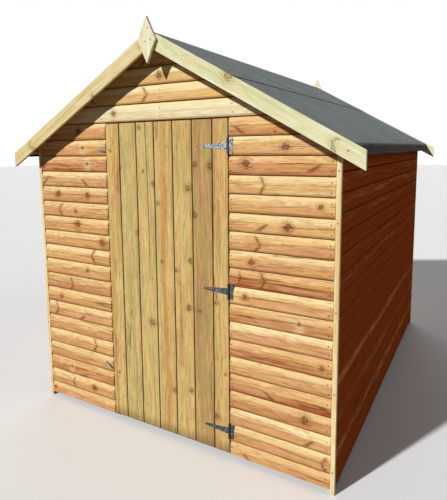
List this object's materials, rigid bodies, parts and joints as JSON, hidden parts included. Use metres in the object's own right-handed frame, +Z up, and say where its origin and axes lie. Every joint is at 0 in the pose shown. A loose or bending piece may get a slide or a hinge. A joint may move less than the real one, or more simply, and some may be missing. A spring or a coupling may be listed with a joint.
{
  "type": "wooden garden shed",
  "caption": "Small timber garden shed with loglap boarding, a pitched felt roof and one outward-opening boarded door on tee hinges.",
  "frame": {"origin": "on the ground, under the middle of the shed's overall box", "axes": "+Z up, +Y from the front gable with the door to the back gable, +X to the right of someone who faces the door"},
  "size_m": [2.058, 2.636, 2.1879],
  "materials": {
    "dipped_boarding": "dipped golden softwood",
    "door_boarding": "pressure treated softwood",
    "pressure_treated_trim": "planed pale green tinted softwood",
    "pale_strip": "planed pale softwood",
    "frame_timber": "sawn softwood",
    "sheet_boards": "plain boards",
    "roof_felt": "mineral surfaced bitumen felt",
    "zinc_steel": "zinc plated"
  },
  "bodies": {
    "shed": {"back_cladding": "dipped_boarding", "back_gable_frame": "frame_timber", "back_wall_rails": "frame_timber", "back_wall_studs": "frame_timber", "bargeboard_back_left": "pressure_treated_trim", "bargeboard_back_right": "pressure_treated_trim", "bargeboard_front_left": "pressure_treated_trim", "bargeboard_front_right": "pressure_treated_trim", "corner_strip_back_left": "pale_strip", "corner_strip_back_right": "pale_strip", "corner_strip_front_left": "pale_strip", "corner_strip_front_right": "pale_strip", "eaves_batten_left": "frame_timber", "eaves_batten_right": "frame_timber", "felt_left": "roof_felt", "felt_ridge_cap": "roof_felt", "felt_right": "roof_felt", "finial_back": "pressure_treated_trim", "finial_front": "pressure_treated_trim", "floor_bearers": "frame_timber", "floor_boards": "sheet_boards", "front_cladding_gable": "dipped_boarding", "front_cladding_left": "dipped_boarding", "front_cladding_right": "dipped_boarding", "front_gable_frame": "frame_timber", "front_wall_rails": "frame_timber", "front_wall_studs": "frame_timber", "hinge_plates": "zinc_steel", "left_cladding": "dipped_boarding", "left_wall_rails": "frame_timber", "left_wall_studs": "frame_timber", "right_cladding": "dipped_boarding", "right_wall_rails": "frame_timber", "right_wall_studs": "frame_timber", "roof_boards_left": "sheet_boards", "roof_boards_right": "sheet_boards", "roof_purlins_left": "frame_timber", "roof_purlins_right": "frame_timber", "turn_button_screws": "zinc_steel"},
    "door": {"door_boards": "door_boarding", "door_ledges": "frame_timber", "door_braces": "frame_timber", "hinge_straps": "zinc_steel"},
    "upper_button": {"turn_button_upper": "zinc_steel"},
    "lower_button": {"turn_button_lower": "zinc_steel"}
  },
  "joints": [
    {"name": "door_hinge", "type": "hinge", "parent": "shed", "child": "door", "pos_m": [0.38525, -1.225, 0.87], "axis": [0, 0, 1], "range_deg": [0, 150]},
    {"name": "upper_button_turn", "type": "hinge", "parent": "shed", "child": "upper_button", "pos_m": [-0.393, -1.2268, 1.554], "axis": [0, 1, 0], "range_deg": [-17, 163]},
    {"name": "lower_button_turn", "type": "hinge", "parent": "shed", "child": "lower_button", "pos_m": [-0.393, -1.2268, 0.311], "axis": [0, 1, 0], "range_deg": [-36, 144]}
  ]
}
